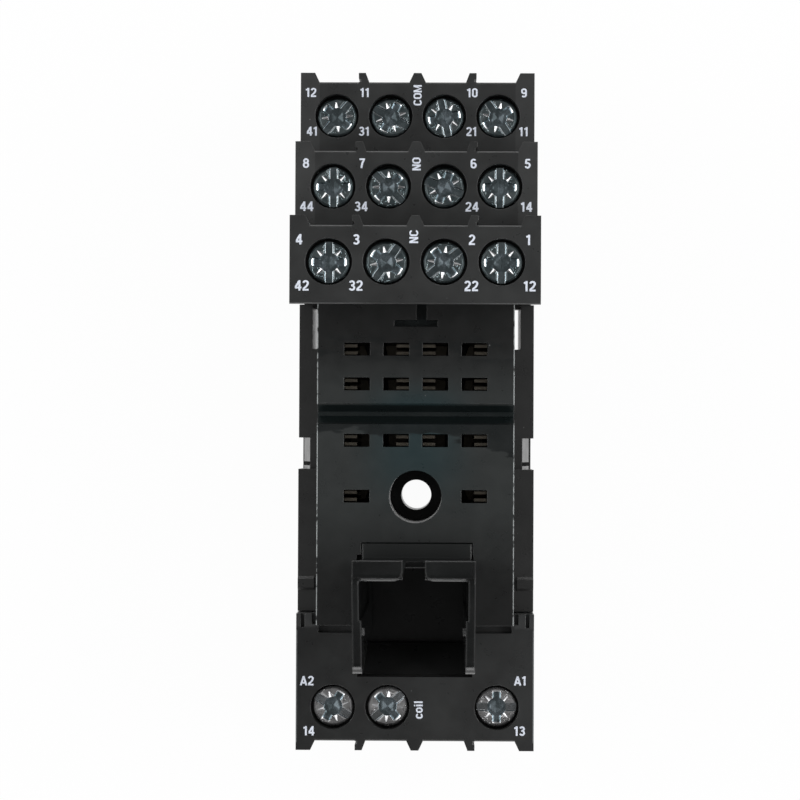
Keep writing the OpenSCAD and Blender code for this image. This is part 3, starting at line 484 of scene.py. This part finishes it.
def screw_points(turn_deg, tip_down):
    """Rows of points from the middle of the recess, over the head and down the threaded shank, in mm below
    the head's top, and their painted glint. The thread is r = shank radius minus its depth times a triangle
    wave of height / pitch minus angle / one turn."""
    turn = radians(turn_deg)
    rows, glints = [], []

    def add(radius, angle, depth, glint=0.0):
        rows.append(np.stack([radius * np.cos(angle), radius * np.sin(angle),
                              -np.broadcast_to(depth, angle.shape)], axis=-1))
        glints.append(np.broadcast_to(glint, angle.shape))

    for radius in RINGS:
        add(radius, *head_columns(radius))
    angle, depth, glint = head_columns(HEAD_R)
    for step in np.linspace(0.2, 1.0, 5):
        radius = FLAT_R + (HEAD_R - FLAT_R) * sin(step * pi / 2)
        drop = land_depth(FLAT_R) + RIM_DROP * (1 - cos(step * pi / 2))
        groove = np.where(depth > 0.2, depth, 0) + 0.10 * share_of(step, 0.6, 0.4)
        # Painted highlight where the slot's floor meets the rim
        rim_glint = np.where(depth > 0.5, np.where(step > 0.7, 0.7, glint), 0.0)
        add(radius, angle, np.maximum(groove, drop), rim_glint)
    for radius, down in ((HEAD_R, SLOT_DEEP + 0.16), (HEAD_R, HEAD_H - 0.12), (HEAD_R - 0.1, HEAD_H),
                         (SHANK_R + 0.02, HEAD_H)):
        add(radius, angle, down)
    even = np.linspace(0, 2 * pi, len(angle), endpoint=False)
    for down in np.arange(HEAD_H + 0.06, tip_down - 0.3, THREAD_PITCH / THREAD_STEPS):
        wave = np.abs(np.mod(down / THREAD_PITCH - even / (2 * pi), 1.0) * 2 - 1)
        add(SHANK_R - THREAD_DEEP * wave, even, down)
    for radius, down in ((SHANK_R - 0.25, tip_down - 0.05), (SHANK_R - 0.4, tip_down), (0.0, tip_down)):
        add(radius, even, down)
    points = np.array(rows)
    x, y = points[..., 0].copy(), points[..., 1].copy()
    points[..., 0] = x * cos(turn) - y * sin(turn)
    points[..., 1] = x * sin(turn) + y * cos(turn)
    return points, np.array(glints)


# How far each screw's slot is turned from the x axis, in degrees
TURNS = {"41": 50, "31": -28, "21": -78, "11": -57, "44": 90, "34": -45, "24": -20, "14": 90,
         "42": 90, "32": 55, "22": 38, "12": 90, "a2": -30, "a2_link": 40, "a1": 0}
screw_places = {}
for terminal, turn in TURNS.items():
    low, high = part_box("screw_" + terminal)
    top = Vector(((low.x + high.x) / 2, (low.y + high.y) / 2, high.z))
    screw_places[terminal] = top
    points, glints = screw_points(turn, (high.z - low.z) / MM)
    mesh = shell("terminal_screw_" + terminal, points * MM + np.array(top))
    # Each point's painted glint: painted highlights on ridges and edges, below 0 on cut floors and walls
    tag = mesh.attributes.new("worn", "FLOAT", "POINT")
    tag.data.foreach_set("value", np.concatenate([glints[:1, 0], glints[1:-1].ravel(), glints[-1:, 0]]))
    piece = place_piece("terminal_screw_" + terminal, mesh, "screw_" + terminal, screw_finish, 32)
    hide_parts("screw_" + terminal)


# ---------------------------------------------------------------- printed markings

# Width of a stroke and space between characters, in cells, and how much a printed cell is widened
STROKE, SPACING, WIDEN = 0.175, 0.07, 1.14
# The ink's thickness, what each next stroke adds to it, and how far it starts off the face, in mm
INK, INK_STEP, INK_OFF = 0.014, 0.003, 0.002
# How far the top of a screw lies below the face round it, in mm
SCREW_SUNK = 1.0


def bow(x, y, wide, high, start, end, steps=9):
    """Points of an arc of an ellipse about (x, y), between two angles in degrees."""
    return [(x + wide * cos(radians(start + (end - start) * i / steps)),
             y + high * sin(radians(start + (end - start) * i / steps))) for i in range(steps + 1)]


def hoop(x, low, high, wide):
    """A closed upright loop with straight sides between two half rounds."""
    turn = min(wide, (high - low) / 2)
    return [bow(x, high - turn, wide, turn, 0, 180) + bow(x, low + turn, wide, turn, 180, 360), True]


# Each character is a width and its strokes, drawn by their middle lines in a cell one unit high, each with
# True where it is closed and False where it has two ends
GLYPHS = {
    "0": (0.56, [hoop(0.28, 0.08, 0.92, 0.19)]),
    "1": (0.42, [[[(0.26, 0.0), (0.26, 1.0)], False], [[(0.03, 0.79), (0.17, 0.82), (0.26, 0.93)], False]]),
    "2": (0.56, [[bow(0.28, 0.71, 0.19, 0.21, 170, -25) + [(0.34, 0.42), (0.12, 0.20), (0.10, 0.08)], False],
                 [[(0.02, 0.08), (0.53, 0.08)], False]]),
    "3": (0.56, [[bow(0.27, 0.725, 0.18, 0.195, 160, -75), False],
                 [bow(0.27, 0.29, 0.20, 0.21, 75, -160), False], [[(0.20, 0.52), (0.32, 0.52)], False]]),
    "4": (0.58, [[[(0.40, 0.0), (0.40, 1.0)], False], [[(0.36, 0.90), (0.08, 0.36)], False],
                 [[(0.02, 0.29), (0.57, 0.29)], False]]),
    "5": (0.56, [[[(0.51, 0.92), (0.14, 0.92)], False], [[(0.16, 0.95), (0.12, 0.50)], False],
                 [bow(0.27, 0.33, 0.205, 0.25, 135, -160), False]]),
    "6": (0.56, [hoop(0.28, 0.08, 0.55, 0.19),
                 [bow(0.28, 0.72, 0.19, 0.20, 30, 180) + [(0.09, 0.30)], False]]),
    "7": (0.54, [[[(0.02, 0.92), (0.52, 0.92)], False], [[(0.46, 0.90), (0.27, 0.50), (0.20, 0.0)], False]]),
    "8": (0.56, [hoop(0.28, 0.53, 0.92, 0.17), hoop(0.28, 0.08, 0.53, 0.20)]),
    "9": (0.56, [hoop(0.28, 0.45, 0.92, 0.19),
                 [bow(0.28, 0.28, 0.19, 0.20, 210, 360) + [(0.47, 0.70)], False]]),
    "A": (0.66, [[[(0.07, 0.0), (0.33, 0.97)], False], [[(0.59, 0.0), (0.33, 0.97)], False],
                 [[(0.16, 0.27), (0.50, 0.27)], False]]),
    "C": (0.62, [[bow(0.31, 0.70, 0.22, 0.22, 10, 180) + bow(0.31, 0.30, 0.22, 0.22, 180, 350), False]]),
    "O": (0.64, [hoop(0.32, 0.08, 0.92, 0.23)]),
    "M": (0.78, [[[(0.09, 0.0), (0.09, 1.0)], False], [[(0.69, 0.0), (0.69, 1.0)], False],
                 [[(0.12, 0.96), (0.39, 0.10), (0.66, 0.96)], False]]),
    "N": (0.62, [[[(0.09, 0.0), (0.09, 1.0)], False], [[(0.53, 0.0), (0.53, 1.0)], False],
                 [[(0.12, 0.96), (0.50, 0.04)], False]]),
    "c": (0.52, [[bow(0.26, 0.50, 0.18, 0.19, 15, 180) + bow(0.26, 0.26, 0.18, 0.19, 180, 345), False]]),
    "o": (0.54, [hoop(0.27, 0.08, 0.69, 0.19)]),
    "i": (0.26, [[[(0.13, 0.0), (0.13, 0.75)], False], [[(0.13, 0.85), (0.13, 1.0)], False]]),
    "l": (0.26, [[[(0.13, 0.0), (0.13, 1.0)], False]]),
}


def ribbon(points, closed, low, high):
    """A thin slab that follows a line: at each point its two sides lie half a stroke out along the mitre.
    Returns its corners and faces as a closed mesh."""
    line = np.array(points)
    if closed and np.allclose(line[0], line[-1]):
        line = line[:-1]
    keep = np.ones(len(line), bool)
    keep[1:] = np.hypot(*(line[1:] - line[:-1]).T) > 1e-4
    line = line[keep]
    ahead, behind = np.roll(line, -1, axis=0) - line, line - np.roll(line, 1, axis=0)
    if not closed:
        ahead[-1], behind[0] = behind[-1], ahead[0]
    ahead, behind = (v / np.hypot(*v.T)[:, None] for v in (ahead, behind))
    mean = ahead + behind
    mean /= np.hypot(*mean.T)[:, None]
    reach = STROKE / 2 / np.clip((mean * ahead).sum(1), 0.75, 1)
    side = np.stack([-mean[:, 1], mean[:, 0]], axis=1) * reach[:, None]
    left, right = line + side, line - side
    corners = [np.column_stack([edge, np.full(len(edge), level)])
               for edge, level in ((left, low), (right, low), (right, high), (left, high))]
    count, faces = len(line), []
    for i in range(count if closed else count - 1):
        after = (i + 1) % count
        for a, b in ((0, 1), (1, 2), (2, 3), (3, 0)):
            faces.append((a * count + i, a * count + after, b * count + after, b * count + i))
    if not closed:
        faces.append((0, count, 2 * count, 3 * count))
        faces.append((4 * count - 1, 3 * count - 1, 2 * count - 1, count - 1))
    return np.concatenate(corners), faces


def printed(name, text, x, y, z, height_mm=1.06, upright=True):
    """A few characters of thin ink on a face, built stroke by stroke, centred on their place."""
    corners, faces, start, pen = [], [], 0, 0.0
    for letter in text:
        width, strokes = GLYPHS[letter]
        for points, closed in strokes:
            some, quads = ribbon(points, closed, 0.0, INK + INK_STEP * len(corners))
            corners.append(some + (pen, 0, 0))
            faces += [tuple(start + i for i in quad) for quad in quads]
            start += len(some)
        pen += width + SPACING
    co = np.concatenate(corners)
    co[:, :2] -= (co[:, :2].max(0) + co[:, :2].min(0)) / 2
    co[:, :2] *= (WIDEN * height_mm, height_mm)
    if not upright:
        co[:, :2] = np.stack([-co[:, 1], co[:, 0]], axis=-1)
    mesh = bpy.data.meshes.new(name)
    mesh.from_pydata(((co + (0, 0, INK_OFF)) * MM + np.array((x, y, z))).tolist(), [], faces)
    mesh.validate()
    place_piece("mark_" + name, mesh, "root", ink_finish)


# One tier of terminals: the terminal numbers stand below the screws and the contact numbers above, each off
# the four columns by its own amount, and the word stands between the middle screws. Sizes are in mm
Tier = namedtuple("Tier", "name word terminals numbers height up down word_x word_up "
                          "number_off terminal_off")
TIERS = (
    Tier("com", "COM", ("41", "31", "21", "11"), ("12", "11", "10", "9"), 1.04, 2.72, -1.76, 0.0, 2.42,
         (-0.10, 0.06, 0.11, 0.06), (0, 0, 0, 0)),
    Tier("no", "NO", ("44", "34", "24", "14"), ("8", "7", "6", "5"), 1.07, 2.55, -2.26, 0.0, 2.49,
         (-0.10, 0.16, 0.16, 0.16), (0, 0.05, 0, 0.05)),
    Tier("nc", "NC", ("42", "32", "22", "12"), ("4", "3", "2", "1"), 1.11, 2.38, -2.58, -0.16, 2.70,
         (-0.27, -0.12, -0.11, -0.11), (0.06, -0.16, -0.16, 0.08)))
WORD_HIGH, COIL_WORD_HIGH = 0.95, 0.98
pitch = screw_places["11"].x - screw_places["21"].x
outer = 1.97 * pitch
columns = (-outer, -pitch, pitch, outer)
for tier in TIERS:
    y = screw_places[tier.terminals[0]].y
    face = screw_places[tier.terminals[0]].z + SCREW_SUNK * MM
    for x, terminal, number, number_off, terminal_off in zip(columns, tier.terminals, tier.numbers,
                                                             tier.number_off, tier.terminal_off):
        for kind, text, off, up in (("pin", number, number_off, tier.up),
                                    ("terminal", terminal, terminal_off, tier.down)):
            printed(f"{tier.name}_{kind}_{text}", text, x + off * MM, y + up * MM, face, tier.height)
    printed(f"{tier.name}_word", tier.word, tier.word_x * MM, y + tier.word_up * MM, face, WORD_HIGH,
            upright=False)

coil = screw_places["a1"]
coil_face = coil.z + SCREW_SUNK * MM
for name, text, x, up in (("coil_a2", "A2", -12.25, 2.95), ("coil_a1", "A1", 11.9, 3.05),
                          ("coil_pin_14", "14", -12.0, -2.72), ("coil_pin_13", "13", 11.9, -2.62)):
    printed(name, text, x * MM, coil.y + up * MM, coil_face)
printed("coil_word", "coil", 0.42 * MM, coil.y - 0.3 * MM, coil_face, COIL_WORD_HIGH, upright=False)
